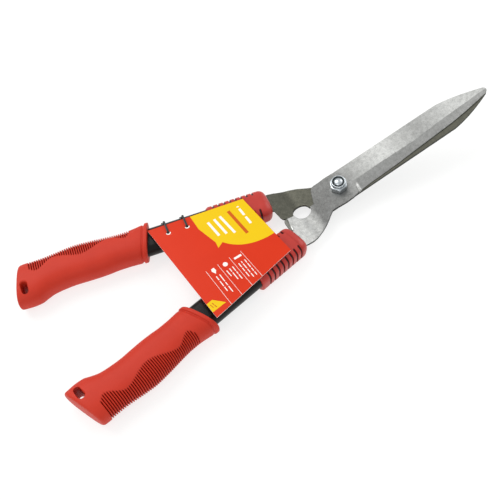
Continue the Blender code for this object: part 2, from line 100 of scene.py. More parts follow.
def clouded(tree, place, scale, low, high, **more):
    """A colour that drifts between two tones in soft noise. Returns the noise and the colour's socket."""
    noise = node(tree, "ShaderNodeTexNoise", {"Vector": place, "Scale": scale, **more})
    tone = node(tree, "ShaderNodeMix", {"Factor": noise.outputs["Fac"], "A": linear(low), "B": linear(high)},
                data_type="RGBA")
    return noise, tone.outputs["Result"]


def grained(tree, shader, place, scale, strength, distance, **more):
    """Fine noise that lifts the surface a little, through the shader's normal."""
    noise = node(tree, "ShaderNodeTexNoise", {"Vector": place, "Scale": scale, **more})
    bump = node(tree, "ShaderNodeBump", {"Height": noise.outputs["Fac"], "Strength": strength, "Distance": distance})
    tree.links.new(bump.outputs["Normal"], shader.inputs["Normal"])


def darkened(tree, shader, tone, deep):
    """Goes from a tone to a deep colour where the attribute "groove" rises to 1: painted shade down in the ribs and
    slots.
    """
    depth = node(tree, "ShaderNodeAttribute", attribute_name="groove")
    dark = node(tree, "ShaderNodeMix", {"Factor": depth.outputs["Fac"], "A": tone, "B": linear(deep)},
                data_type="RGBA")
    tree.links.new(dark.outputs["Result"], shader.inputs["Base Color"])


print("steel grey in linear light:", np.round(linear("#9A9A96")[:3], 3))

# %% Floor, world and lights
floor_look, tree, shader = material("white_sweep", "#949492", 0.0, 0.8)
shader.inputs["Emission Color"].default_value = linear("#FFFFFF")
shader.inputs["Emission Strength"].default_value = 0.74
floor_mesh = bpy.data.meshes.new("floor")
floor_mesh.from_pydata([(-4, -4, 0), (4, -4, 0), (4, 4, 0), (-4, 4, 0)], [], [(0, 1, 2, 3)])
floor_mesh.materials.append(floor_look)
floor = bpy.data.objects.new("floor", floor_mesh)
floor.location.z = -0.0002
bpy.context.scene.collection.objects.link(floor)

world = bpy.data.worlds.new("studio")
bpy.context.scene.world = world
world.use_nodes = True
world.node_tree.nodes["Background"].inputs["Color"].default_value = linear("#F2F4F6")
world.node_tree.nodes["Background"].inputs["Strength"].default_value = 0.62
bpy.context.scene.view_settings.view_transform = "Standard"


def soft_light(name, place, size, watts, target=(0.0, 0.0, 0.0)):
    """A square area light at place that faces target."""
    data = bpy.data.lights.new(name, "AREA")
    data.shape, data.size, data.energy = "SQUARE", size, watts
    light = bpy.data.objects.new(name, data)
    light.location = place
    away = np.array(place) - np.array(target)
    flat = math.hypot(away[0], away[1])
    light.rotation_euler = (math.atan2(flat, away[2]), 0.0, math.atan2(away[0], -away[1]))
    bpy.context.scene.collection.objects.link(light)
    return light


soft_light("key", (-0.5, 1.1, 1.5), 1.2, 17)
soft_light("fill", (-1.2, -0.7, 1.0), 1.0, 5)
soft_light("rim", (1.2, 0.2, 0.9), 0.8, 5)
print("floor, world and 3 lights are in place")

# %% [markdown]
# ## Frames
# Every part is drawn in the frame where it is simple, in millimetres, and then moved to its place.
# The blades' frame has its origin between the two blades at the pivot, with z along the pivot bolt.
# It leans back by the crank angle. Each handle's frame has s along its axis, t outward, and z up.

# %% Frames and a grid skin
SHIFT_X, PIVOT_Z = 70.45, 18.0
CRANK, SPLAY = math.radians(10.9), math.radians(10.7)
AXIS_Z = 14.3


def blade_frame():
    """Rotation and origin of the blades' frame: a turn by the crank angle about y."""
    c, s = math.cos(CRANK), math.sin(CRANK)
    return np.array([[c, 0, -s], [0, 1, 0], [s, 0, c]]), np.array([SHIFT_X, 0, PIVOT_Z])


def handle_frame(side):
    """Columns are along the handle, outward and up. side is +1 for handle a and -1 for handle b."""
    c, s = math.cos(SPLAY), math.sin(SPLAY)
    turn = np.array([[-c, s, 0], [side * s, side * c, 0], [0, 0, 1]])
    return turn, np.array([-76.0 + SHIFT_X, side * 27.4, AXIS_Z])


def placed(points, where):
    """Millimetres in one of those frames to metres in the part's own: turn, then add the origin."""
    turn, origin = where
    return (points @ turn.T + origin) * MM


def quads(rows, cols, wrap_rows=False):
    """Faces of a grid whose columns close on themselves: each joins four neighbouring points."""
    i, j = np.meshgrid(np.arange(rows if wrap_rows else rows - 1), np.arange(cols), indexing="ij")
    i2, j2 = (i + 1) % rows, (j + 1) % cols
    return np.stack([i * cols + j, i * cols + j2, i2 * cols + j2, i2 * cols + j], -1).reshape(-1, 4)


def volume(points, faces):
    """Sum over triangles of a . (b x c) / 6. It is negative when the faces point inwards."""
    a, b, c, d = (points[faces[:, k]] for k in range(4))
    return (np.einsum("ij,ij->", a, np.cross(b, c)) + np.einsum("ij,ij->", a, np.cross(c, d))) / 6


def skin(name, grid, where, looks, wrap_rows=False, sharp=40.0, look_of=None):
    """A closed mesh from rows of points, each row a loop. The first and last rows are closed by fans."""
    rows, cols = grid.shape[:2]
    points, faces = placed(grid.reshape(-1, 3), where), quads(rows, cols, wrap_rows)
    kinds = np.zeros(len(faces), int) if look_of is None else look_of(rows, cols)
    if not wrap_rows:
        ends = placed(grid[[0, -1]].mean(axis=1), where)
        points = np.vstack([points, ends])
        j, last, top = np.arange(cols), (rows - 1) * cols, rows * cols
        first_fan = np.stack([np.full(cols, top), (j + 1) % cols, j, j], -1)
        last_fan = np.stack([np.full(cols, top + 1), last + j, last + (j + 1) % cols, last + (j + 1) % cols], -1)
        faces = np.vstack([faces, first_fan, last_fan])
        kinds = np.concatenate([kinds, np.full(2 * cols, kinds[-1])])
    if volume(points, faces) < 0:
        faces = faces[:, [0, 3, 2, 1]]
    lists = [list(dict.fromkeys(f)) for f in faces.tolist()]
    mesh = bpy.data.meshes.new(name)
    mesh.from_pydata(points, [], lists)
    for look in looks:
        mesh.materials.append(look)
    mesh.polygons.foreach_set("material_index", kinds.astype(np.int32))
    return finish_mesh(name, mesh, sharp)


def finish_mesh(name, mesh, sharp=40.0):
    """Smooth shading, except across edges that turn by more than the sharp angle."""
    mesh.validate()
    mesh.shade_smooth()
    mesh.set_sharp_from_angle(angle=math.radians(sharp))
    piece = bpy.data.objects.new(name, mesh)
    bpy.context.scene.collection.objects.link(piece)
    return piece


def carve(piece, cutters, sharp=40.0):
    """Cuts pieces out of a piece with exact Booleans and keeps the result as its own mesh."""
    for cutter in cutters:
        step = piece.modifiers.new("cut", "BOOLEAN")
        step.operation, step.solver, step.object = "DIFFERENCE", "EXACT", cutter
    ready = piece.evaluated_get(bpy.context.evaluated_depsgraph_get())
    mesh = bpy.data.meshes.new_from_object(ready)
    piece.modifiers.clear()
    piece.data = mesh
    mesh.name = piece.name
    mesh.set_sharp_from_angle(angle=math.radians(sharp))
    for cutter in cutters:
        bpy.data.objects.remove(cutter, do_unlink=True)
    return piece


def settle(piece, body, slot, *nodes):
    """Makes a piece ride on its body and stand for its CAD nodes. The slot is not used."""
    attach(piece, body)
    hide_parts(*nodes)
    count = sum(len(p.vertices) - 2 for p in piece.data.polygons)
    print(f"{piece.name}: {count} triangles, on {body}")
    return piece


def eased(x, xs, ys):
    """A curve through points: cubic between neighbours. The slope at a point is the harmonic mean of
    the slopes on its two sides, and zero at a crest, so the curve never overshoots."""
    xs, ys = np.asarray(xs, float), np.asarray(ys, float)
    step = np.diff(ys) / np.diff(xs)
    both = step[1:] * step[:-1]
    mean = np.where(both > 0, 2 * both / np.where(both > 0, step[1:] + step[:-1], 1), 0)
    slope = np.concatenate([[step[0]], mean, [step[-1]]])
    k = np.clip(np.searchsorted(xs, x) - 1, 0, len(xs) - 2)
    h = xs[k + 1] - xs[k]
    u = np.clip((x - xs[k]) / h, 0, 1)
    rise = (1 + 2 * u) * (1 - u) ** 2 * ys[k] + u * u * (3 - 2 * u) * ys[k + 1]
    return rise + h * (u * (1 - u) ** 2 * slope[k] - u * u * (1 - u) * slope[k + 1])


def step(x):
    """Smooth step from 0 to 1: 3x squared less 2x cubed, with x held between 0 and 1."""
    x = np.clip(x, 0, 1)
    return x * x * (3 - 2 * x)


def bent(angle, power):
    """Unit superellipse: cosine and sine, each raised to 2/power and given back its sign."""
    c, s = np.cos(angle), np.sin(angle)
    return np.sign(c) * np.abs(c) ** (2 / power), np.sign(s) * np.abs(s) ** (2 / power)


print("blade frame leans", round(math.degrees(CRANK), 1), "degrees")

# %% [markdown]
# ## Soft grip material
# The grips are moulded from a matte thermoplastic rubber. Its colour is even, but handling and the
# mould leave faint clouds and a fine, dull grain that spreads each highlight. Down in the ribs the
# same red sees little light, so it is drawn darker there from an attribute that holds the depth.

# %% Matte red rubber
grip_look, tree, shader = material("moulded_rubber_red", "#C7311B", 0.0, 0.55, IOR=1.5, Specular_IOR_Level=0.3)
where_it_is = node(tree, "ShaderNodeTexCoord").outputs["Object"]
_, tone = clouded(tree, where_it_is, 60.0, "#C12E19", "#CD351E", Detail=3.0)
darkened(tree, shader, tone, "#7C100A")
# a 0.4 mm grain, coarser than the real 0.1 mm spark texture so that it shows
grained(tree, shader, where_it_is, 2400.0, 0.25, 0.0002, Detail=2.0)
print("made", grip_look.name)

# %% [markdown]
# ## Grips
# Each grip is a lofted tube. Its outline seen from above was measured along the outer and the inner
# side, so the width at every place is the distance between two eased curves. Its section is a
# superellipse that rests flat on the table. A flange rings the front, and 47 narrow ribs cross the
# outer side. Their ends follow a wavy line over the top, drawn as one more eased curve.

# %% Grip outline
GRIP_BODY = np.array([  # place along the handle, centre, half width, half height, all mm
    (131.0, 0.8, 19.2, 14.1), (137.8, 0.7, 19.2, 14.2), (144.0, 0.5, 18.5, 14.4), (152.0, 0.3, 17.8, 14.5),
    (161.0, 0.3, 17.7, 14.6), (171.0, 0.3, 18.4, 14.7), (182.0, 0.8, 19.2, 14.8), (194.0, 1.6, 19.7, 14.8),
    (207.0, 2.3, 19.9, 14.8), (219.0, 1.5, 19.8, 14.8), (228.0, 0.2, 19.9, 14.8), (235.0, -1.7, 21.0, 14.8),
    (241.0, -3.3, 22.3, 14.8), (249.0, -3.7, 22.7, 14.8), (256.5, -3.4, 22.6, 14.7), (262.0, -3.3, 22.2, 14.4)])
RIBS, RIB_FIRST, RIB_PITCH, RIB_HALF, RIB_DEPTH = 47, 147.0, 2.2, 0.62, 2.2
WAVE_S = (145.0, 147.2, 151.5, 167.0, 197.0, 224.5, 242.5, 249.5)   # where the rib ends crest and dip
WAVE_T = (17.0, 11.5, 6.8, 13.2, 4.6, 11.8, 2.4, 7.0)


def slant(s):
    """How much the ends lean: the outer side sits nearer the blades."""
    return -0.33 + 0.11 * np.clip((s - 131) / 131, 0, 1)


def grip_edges(s):
    """Outer and inner edge at a place along the handle, each an eased curve through slanted stations."""
    at, centre, half, _ = GRIP_BODY.T
    outer = eased(s, at + slant(at) * (centre + half), centre + half)
    inner = eased(s, at + slant(at) * (centre - half), centre - half)
    return outer, inner


def rib_depth(s, t):
    """Depth between the ribs in mm: V-shaped dips along s, faded in where t passes the wavy line."""
    k = np.clip(np.round((s - RIB_FIRST) / RIB_PITCH), 0, RIBS - 1)
    off = np.abs(s - RIB_FIRST - k * RIB_PITCH)
    across = np.clip((RIB_HALF - off) / (RIB_HALF - 0.12), 0, 1)
    return RIB_DEPTH * across * step((t - eased(s, WAVE_S, WAVE_T)) / 1.6)


def grip_rows():
    """Place of each row and how far it stands proud: a flange, a groove, five rows to a rib, a rounded end."""
    front = [(131.0, 0.1), (131.12, 0.6), (131.5, 0.92), (132.0, 1.0), (134.0, 1.0), (134.45, 0.9), (134.75, 0.6),
             (134.95, 0.2), (135.2, -0.55), (135.6, -0.75), (136.5, -0.75), (136.9, -0.5), (137.3, -0.1), (137.9, 0.0)]
    mid = [(s, 0.0) for s in np.arange(139.0, 146.0, 1.0)]
    ribs = [(RIB_FIRST + k * RIB_PITCH + d, 0.0) for k in range(RIBS) for d in (-0.75, -0.4, 0.0, 0.4, 0.75)]
    back = [(s, 0.0) for s in (249.6, 250.6, 252.0, 253.5, 255.0, 256.5, 258.0, 259.2)]
    turn = np.radians(np.arange(12, 89, 12))
    end = [(259.6 + 2.4 * math.sin(a), -2.4 * (1 - math.cos(a))) for a in turn]
    return np.array(front + mid + ribs + back + end)


def grip_grid(reach, columns=144):
    """Superellipse rows between the two edges. Each point slides along s by the slant times its own t.
    The reach moves the ends of the ribs further over the top."""
    rows = grip_rows()
    place, proud = rows[:, :1], rows[:, 1:]
    lean = -0.33 * (1 - step((place - 138) / 8)) - 0.22 * step((place - 250) / 6)
    x, y = bent(np.linspace(0, 2 * math.pi, columns, endpoint=False)[None, :], 2.5)
    t = 19.0 * x + 0 * place
    for _ in range(4):
        s = place + lean * t
        outer, inner = grip_edges(s)
        t = (outer + inner) / 2 + ((outer - inner) / 2 + proud) * x
    high = eased(place, GRIP_BODY[:, 0], GRIP_BODY[:, 3]) + proud
    z = high * y
    deep = rib_depth(s, t + reach)
    half = (outer - inner) / 2
    nx, nz = np.sign(x) * np.abs(x) ** 1.5 / half, np.sign(y) * np.abs(y) ** 1.5 / high
    size = np.hypot(nx, nz)
    t, z = t - deep * nx / size, z - deep * nz / size
    return np.stack([s, t, np.maximum(z, -AXIS_Z)], -1)


def capsule(centre, half, radius, levels, count=40):
    """A slot-shaped plug: two half circles apart along t. Each level is (height, extra radius)."""
    a = np.linspace(0, 2 * math.pi, count, endpoint=False)
    rows = [np.stack([centre[0] + (radius + more) * np.cos(a),
                      centre[1] + np.where(np.sin(a) > 0, half, -half) + (radius + more) * np.sin(a),
                      np.full(count, height)], -1) for height, more in levels]
    return np.array(rows)


HOLE_AT, HOLE_HALF, HOLE_R = (257.0, -13.4), 3.2, 3.3     # the hanging hole: its middle, and its slot shape
HOLE_FLARE = [(-20, 2.2), (-14.3, 2.2), (-13.9, 1.1), (-13.2, 0.4), (-12.2, 0), (13.0, 0), (13.8, 0.25), (14.4, 0.8),
              (14.8, 1.5), (20, 4.0)]                     # height, and how much wider the hole is there


def mark_grooves(piece, where, share):
    """Stores how far down a groove each point lies, from 0 to 1, as an attribute for the material."""
    co = np.zeros(len(piece.data.vertices) * 3, np.float32)
    piece.data.vertices.foreach_get("co", co)
    turn, origin = where
    local = (co.reshape(-1, 3) / MM - origin) @ turn
    groove = piece.data.attributes.new("groove", "FLOAT", "POINT")
    groove.data.foreach_set("value", np.clip(share(local[:, 0], local[:, 1]), 0, 1).astype(np.float32))


def make_grip(side, tag, body):
    """Skins the grip, cuts the hanging hole with a flared plug, and stores how deep each point lies.
    The ribs of side a reach 1.6 mm further over the top."""
    where = handle_frame(side)
    reach = 1.6 if side > 0 else 0.0
    piece = skin("soft_grip_" + tag, grip_grid(reach), where, [grip_look], sharp=50)
    plug = skin("plug", capsule(HOLE_AT, HOLE_HALF, HOLE_R, HOLE_FLARE), where, [grip_look])
    carve(piece, [plug], sharp=50)
    mark_grooves(piece, where, lambda s, t: (rib_depth(s, t + 1.2 + reach) / RIB_DEPTH) ** 2.5)
    return settle(piece, body, "grip_vinyl", "grip_" + tag)


grip_a = make_grip(1, "a", "card_half")
grip_b = make_grip(-1, "b", "free_half")

# %% [markdown]
# ## Collars
# A hard moulded collar clamps each blade's tang into its tube. It is a rounded box with eight slots
# along each side, which save plastic and stop sinks. The skin runs over the outside, turns in at the
# rear, and comes back inside as the bore for the tube. The front has a mouth for the tang.

# %% Hard red plastic
collar_look, tree, shader = material("moulded_polypropylene_red", "#BE3830", 0.0, 0.34, IOR=1.5, Specular_IOR_Level=0.4)
where_it_is = node(tree, "ShaderNodeTexCoord").outputs["Object"]
_, tone = clouded(tree, where_it_is, 90.0, "#B4322A", "#C43E35", Detail=2.0)
# the slots are drawn darker from the attribute "groove": painted shade down in them
darkened(tree, shader, tone, "#3A070A")
grained(tree, shader, where_it_is, 1500.0, 0.15, 0.0002)
print("made", collar_look.name)

# %% Collar surface
COLLAR_FRONT, COLLAR_REAR, COLLAR_W, COLLAR_H, COLLAR_Z = -3.2, 63.0, 17.1, 12.0, -2.3
SLOTS, SLOT_FIRST, SLOT_PITCH, SLOT_DEPTH = 8, 11.4, 6.3, 1.3
NOSE, TAIL = 7.5, 2.8                      # rounding radius at the front and at the rear
BORE_W, BORE_H = 15.6, 8.4                 # half sizes of the hole for the tube
MOUTH_LOW, MOUTH_HIGH = (-12, -13.4, -6.0), (20, 13.4, 2.1)   # corners of the opening for the tang


def slot_depth(s, t):
    """Depth of the slots in mm: a trapezium wave along s, faded in toward the sides."""
    k = np.clip(np.round((s - SLOT_FIRST) / SLOT_PITCH), 0, SLOTS - 1)
    across = np.clip((1.15 - np.abs(s - SLOT_FIRST - k * SLOT_PITCH)) / 0.2, 0, 1)
    return SLOT_DEPTH * across * step((np.abs(t) - 9.6) / 2.0)


def collar_grid(ahead, columns=160):
    """Rows of superellipses. The half width shrinks by the rounding radius times one less the cosine
    at each end. Inside, the rows are the tube's oval. Slots push the sides in by their depth."""
    nose = np.radians(np.arange(5, 91, 8.5))
    rows = [(COLLAR_FRONT + NOSE * (1 - math.sin(a)), NOSE * (1 - math.cos(a)), 3.2) for a in nose[::-1]]
    sides = [(SLOT_FIRST - ahead + k * SLOT_PITCH + d, 0.0, 3.4) for k in range(SLOTS)
             for d in (-2.4, -1.2, -0.9, 0.0, 0.9, 1.2, 2.4)]
    tail = [(COLLAR_REAR - TAIL * (1 - math.sin(a)), TAIL * (1 - math.cos(a)), 3.4)
            for a in np.radians(np.arange(0, 91, 15))]
    rows = np.array(rows + [(4.0, 0.0, 3.3), (6.5, 0.0, 3.4)] + sides + tail)
    s, inset, power = rows[:, :1], rows[:, 1:2], rows[:, 2:]
    a = np.linspace(0, 2 * math.pi, columns, endpoint=False)[None, :]
    x, y = bent(a, power)
    t, z = (COLLAR_W - inset) * x, COLLAR_Z + (COLLAR_H - inset) * y
    deep = slot_depth(s + ahead, t)
    nx, nz = np.sign(x) * np.abs(x) ** 4, np.sign(y) * np.abs(y) ** 4
    size = np.hypot(nx, nz)
    t, z = t - deep * nx / size, z - deep * nz / size
    outside = np.stack([s + 0 * t, t, z], -1)
    bx, by = bent(a, 2.6)
    inside = [np.stack([0 * a + place, (BORE_W + more) * bx, (BORE_H + more) * by], -1)[0]
              for place, more in ((COLLAR_REAR - 0.1, 0.5), (COLLAR_REAR - 0.6, 0.0), (50.0, 0.0), (14.0, 0.0))]
    return np.concatenate([outside, np.array(inside)])


def rounded_box(low, high, radius, levels=5, count=48):
    """A box with rounded edges along s: superellipse rows of a high power between two ends."""
    low, high = np.array(low, float), np.array(high, float)
    x, y = bent(np.linspace(0, 2 * math.pi, count, endpoint=False), 7.0)
    mid, half = (low + high) / 2, (high - low) / 2
    a = np.linspace(0, math.pi / 2, levels)
    first = [(low[0] + radius * (1 - math.sin(v)), radius * (1 - math.cos(v))) for v in a[::-1]]
    last = [(high[0] - radius * (1 - math.sin(v)), radius * (1 - math.cos(v))) for v in a]
    return np.array([np.stack([np.full(count, s), mid[1] + (half[1] - inset) * x, mid[2] + (half[2] - inset) * y], -1)
                     for s, inset in first + last])


def make_collar(side, tag, body):
    """Skins the collar and cuts the mouth for the tang. The slots of side b start 3 mm further forward."""
    where = handle_frame(side)
    ahead = 0.0 if side > 0 else 3.0
    piece = skin("slotted_collar_" + tag, collar_grid(ahead), where, [collar_look], sharp=45)
    mouth = skin("mouth", rounded_box(MOUTH_LOW, MOUTH_HIGH, 0.5), where, [collar_look])
    carve(piece, [mouth], sharp=45)
    mark_grooves(piece, where, lambda s, t: slot_depth(s + ahead, t + 0.6 * np.sign(t)) / SLOT_DEPTH)
    return settle(piece, body, "collar_plastic", "collar_" + tag)


collar_a = make_collar(1, "a", "card_half")
collar_b = make_collar(-1, "b", "free_half")

# %% [markdown]
# ## Tubes
# The handles are oval steel tubes with black stoved paint. The paint is semi-gloss and slightly
# rippled, like orange peel. A tube is its oval carried along s, out and back inside its wall.

# %% Painted tube
tube_look, tree, shader = material("stoved_black_paint", "#0E0D0C", 0.0, 0.34, IOR=1.5, Specular_IOR_Level=0.25)
where_it_is = node(tree, "ShaderNodeTexCoord").outputs["Object"]
grained(tree, shader, where_it_is, 500.0, 0.2, 0.0003, Detail=1.0)
_, tone = clouded(tree, where_it_is, 120.0, "#0A0908", "#161412", Detail=4.0)
tree.links.new(tone, shader.inputs["Base Color"])
TUBE_HALF_W, TUBE_HALF_H, TUBE_WALL = 15.2, 8.0, 1.5
TUBE_FRONT, TUBE_REAR = 7.0, 246.0


def flat_oval(half_w, half_h, count=64):
    """Two half circles apart: cosine and sine of the turn, with the ends moved out by w less h."""
    a = np.linspace(0, 2 * math.pi, count, endpoint=False)
    c = half_w - half_h
    return np.stack([np.where(np.cos(a) >= 0, c, -c) + half_h * np.cos(a), half_h * np.sin(a)], -1)


def make_tube(side, tag, body):
    """The oval from the front end to the back end, and the same less the wall on the way back."""
    outer = flat_oval(TUBE_HALF_W, TUBE_HALF_H)
    inner = flat_oval(TUBE_HALF_W - TUBE_WALL, TUBE_HALF_H - TUBE_WALL)
    rows = [(TUBE_FRONT, inner), (TUBE_FRONT, outer), *[(s, outer) for s in np.linspace(15, 240, 16)],
            (TUBE_REAR, outer), (TUBE_REAR, inner)]
    grid = np.array([np.column_stack([np.full(len(o), s), o]) for s, o in rows])
    piece = skin("painted_tube_" + tag, grid, handle_frame(side), [tube_look], wrap_rows=True)
    return settle(piece, body, "tube_paint", "tube_" + tag)


tube_a = make_tube(1, "a", "card_half")
tube_b = make_tube(-1, "b", "free_half")

# %% [markdown]
# ## Blade steel
# The blades are pressed from 3 mm carbon steel plate. Their faces were ground and tumbled, which
# leaves a cloudy, satin grey with a fine grain. The steel doesn't look equally bright along its
# length. The attribute "tone" multiplies the colour by a few broad values, which were tuned to match
# one view. They are painted light and shade, standing for what the steel mirrored there, so in other
# views it stays where it is. The lower blade is a darker copy of the same steel, painted shade, and
# the sheared edges of the plate are drawn dark.

# %% Ground steel and sheared edge
def ground_steel(name, dark, light, rough, cloud=240.0):
    """Metal whose tone follows soft clouds and a fine grain, with scratches that run along the blade."""
    look, tree, shader = material(name, dark, 1.0, rough)
    place = node(tree, "ShaderNodeTexCoord").outputs["Object"]
    cloud_map = node(tree, "ShaderNodeTexNoise", {"Vector": place, "Scale": cloud, "Detail": 5.0, "Roughness": 0.6})
    fine = node(tree, "ShaderNodeTexNoise", {"Vector": place, "Scale": 900.0, "Detail": 3.0, "Roughness": 0.7})
    both = node(tree, "ShaderNodeMix", {"Factor": 0.5, "A": cloud_map.outputs["Fac"], "B": fine.outputs["Fac"]})
    spread = node(tree, "ShaderNodeMapRange", {"Value": both.outputs["Result"], "From Min": 0.30, "From Max": 0.70})
    mottle = node(tree, "ShaderNodeMix", {"Factor": spread.outputs["Result"], "A": linear(dark), "B": linear(light)},
                  data_type="RGBA")
    # the attribute "tone" brings painted light and shade along the blade into the colour
    painted_light_attr = node(tree, "ShaderNodeAttribute", attribute_name="tone")
    tone = node(tree, "ShaderNodeMix", {"Factor": 1.0, "A": mottle.outputs["Result"], "B": painted_light_attr.outputs["Color"]},
                data_type="RGBA", blend_type="MULTIPLY", clamp_result=True)
    tree.links.new(tone.outputs["Result"], shader.inputs["Base Color"])
    dull = node(tree, "ShaderNodeMapRange", {"Value": spread.outputs["Result"], "To Min": rough + 0.08,
                                             "To Max": rough - 0.06})
    tree.links.new(dull.outputs["Result"], shader.inputs["Roughness"])
    long = node(tree, "ShaderNodeMapping", {"Vector": place, "Scale": (150.0, 2600.0, 2600.0)})
    lines = node(tree, "ShaderNodeTexNoise", {"Vector": long.outputs["Vector"], "Scale": 1.0, "Detail": 2.0})
    bump = node(tree, "ShaderNodeBump", {"Height": lines.outputs["Fac"], "Strength": 0.12, "Distance": 0.0001})
    tree.links.new(bump.outputs["Normal"], shader.inputs["Normal"])
    return look


steel_look = ground_steel("ground_carbon_steel", "#868683", "#C2C2BF", 0.42)
# the lower blade's steel is a darker copy of the same steel: painted shade
inner_steel_look = ground_steel("carbon_steel_in_painted_shade", "#4E4E46", "#6C6B60", 0.46)
# the sheared edge walls are drawn near black
edge_look = ground_steel("sheared_steel_edge", "#1C1C1A", "#3A3935", 0.5, 200.0)
# a darker copy of the steel for the rolled finger: painted shade
rolled_look = ground_steel("rolled_steel_edge", "#4C4C48", "#6E6E68", 0.5, 200.0)
print("made", steel_look.name, inner_steel_look.name, edge_look.name, rolled_look.name)

# %% [markdown]
# ## Blades
# A blade is the space between two rails: one runs from the tip down the spine, round the notch and
# the stop finger, and the other down the cutting edge and the outside of the shank. Both have the
# same number of stations, and straight lines join them. Height is a formula of place: the plate is
# flat, then bends up to the handle, and the cutting edge is ground down to half a millimetre.

# %% Rails
PLATE, LEVEL, EDGE_THICK, BOLT_HOLE_R = 3.0, 1.65, 0.5, 5.15
BEND_X, SPINE, EDGE = -53.0, 18.2, 16.0


def to_blade(x, y):
    """A point at the handle axis' height, measured from the pivot's foot, to the blades' frame."""
    c, s = math.cos(CRANK), math.sin(CRANK)
    lift = AXIS_Z - PIVOT_Z
    return np.array([x * c + lift * s, y, -x * s + lift * c])


def tang(s, t):
    """A point of the tang, from its place along the handle and outward, for the blade on the -y side."""
    x = -76.0 - s * math.cos(SPLAY) + t * math.sin(SPLAY)
    y = 27.4 + s * math.sin(SPLAY) + t * math.cos(SPLAY)
    p = to_blade(x, y)
    return (p[0], -p[1])


def pull(a, b, c, count):
    """Quadratic curve from a to c, pulled toward b: (1-u)^2 a + 2u(1-u) b + u^2 c."""
    u = np.linspace(0, 1, count)[:, None]
    return (1 - u) ** 2 * np.array(a) + 2 * u * (1 - u) * np.array(b) + u * u * np.array(c)


def along(line, count, ends=True):
    """Points evenly spaced along a line of points, by its length."""
    line = np.asarray(line, float)
    run = np.concatenate([[0], np.cumsum(np.linalg.norm(np.diff(line, axis=0), axis=1))])
    at = np.linspace(0, run[-1], count, endpoint=ends)
    return np.stack([np.interp(at, run, line[:, k]) for k in range(2)], -1)


def rails():
    """The two rails of the -y blade, in matching sections: (spine side, edge side, stations)."""
    notch = [(-48.6 + 10.0 * math.cos(a), -0.4 - 8.3 * math.sin(a)) for a in np.radians(np.arange(0, 181, 9))]
    spine_tip = [(204.9, -0.3), (204.75, 1.0), (204.2, 2.3), *pull((203.4, 3.2), (170, 15.8), (146, SPINE), 30)]
    edge_tip = [(204.9, -1.4), (204.6, -1.9), (204.0, -2.6), (203.0, -3.1), (197, -4.5), (190, -5.8), (180, -7.4),
                (170, -8.8), (160, -9.9), (148, -11.1), (135, -11.8)]
    edge_mid = [(135, -11.8), (110, -13.1), (90, -14.1), (70, -15.3), (44, -EDGE), (31, -16.3), (20, -17.0),
                (13.5, -18.6)]
    sections = [
        (spine_tip, edge_tip, 70),
        ([(146, SPINE), (14, SPINE)], edge_mid, 150),
        ([(14, SPINE), (-20.4, SPINE)], [(13.5, -18.6), (5, -20.2), (-5, -20.6), (-14, -19.9), (-20.4, -19.5)], 30),
        ([(-20.4, SPINE), (-23.6, 17.4), (-26.4, 14.8), (-33.6, -0.4)],
         [(-20.4, -19.5), (-22.4, -19.7), (-26.8, -22.3), (-31.5, -25.6)], 22),
        ([(-33.6, -0.4), (-38.6, -0.4)], [(-31.5, -25.6), (-36.5, -28.8)], 7),
        (notch, [(-36.5, -28.8), (-43.5, -32.3), (-52.6, -35.8), (-54.5, -36.4)], 26),
        ([(-58.6, -0.4), (-69.0, -0.4), (-71.6, -1.2), (-72.8, -3.6)],
         [(-54.5, -36.4), (-60, -37.9), (-64.0, -38.35)], 20),
        ([(-72.8, -3.6), (-73.6, -15.4)], [(-64.0, -38.35), (-67, -38.6)], 10),
        ([(-73.6, -15.4), tang(2.5, -11.3)], [(-67, -38.6), tang(-1.0, 11.3)], 6),
        ([tang(2.5, -11.3), tang(56, -11.3)], [tang(-1.0, 11.3), tang(56, 11.3)], 14),
    ]
    a = np.vstack([along(s, n, k == len(sections) - 1) for k, (s, _, n) in enumerate(sections)])
    b = np.vstack([along(e, n, k == len(sections) - 1) for k, (_, e, n) in enumerate(sections)])
    return a, b


print("stations on each rail:", len(rails()[0]))


# %% Heights of the plate
def plate_line(level):
    """Side view of the plate's middle, (x, z): flat, a bend, a ramp up to the handle, and level again."""
    near, far = to_blade(-80.0, 0), to_blade(-226.0, 0)
    bend = np.array([BEND_X, level])
    up = np.array([near[0], near[2]]) - bend
    up /= np.linalg.norm(up)
    out = np.array([far[0] - near[0], far[2] - near[2]])
    out /= np.linalg.norm(out)
    start = np.array([near[0], near[2]])
    return np.vstack([[(240.0, level)], pull((BEND_X + 7, level), bend, bend + 7 * up, 12),
                      pull(start - 4 * up, start, start + 4 * out, 8), [(far[0], far[2])]])


def plate_faces(level):
    """Upper and lower face of the plate: the middle line moved half a thickness along its normal."""
    line = plate_line(level)
    way = np.gradient(line, axis=0)
    way /= np.linalg.norm(way, axis=1)[:, None]
    normal = np.stack([way[:, 1], -way[:, 0]], -1)
    return line + normal * PLATE / 2, line - normal * PLATE / 2


def height(x, face):
    """Height of a face at x, read off its side view."""
    order = np.argsort(face[:, 0])
    return np.interp(x, face[order, 0], face[order, 1])


def bevel_depth(x, y):
    """How deep the grinding goes: a constant fall from its upper line toward the edge. Near the pivot
    the wheel lifts off along a curved line, where the depth fades out."""
    top_line = np.interp(x, [16, 46, 98, 144, 173, 205], [-3.9, -3.3, -4.0, -1.4, -0.6, 0.4])
    fall = (PLATE - EDGE_THICK) / (EDGE - 3.6)
    start = np.interp(-y, [3.0, 4.2, 6.7, 12.0, 18.8], [21.0, 17.6, 16.2, 14.8, 13.2])
    return np.clip((top_line - y) * fall, 0, PLATE - EDGE_THICK) * step((x - start) / 4.0)


# (place along the blade in mm, brightness) at the bend, the shank, the pivot, and four places up to the tip.
# The brightness is painted light and shade, standing for what the steel mirrored there
PAINTED_LIGHT_TABLE = np.array([(-52, 1.5), (-36, 0.45), (0, 0.6), (62, 1.9), (112, 1.2), (160, 1.8), (205, 1.4)])


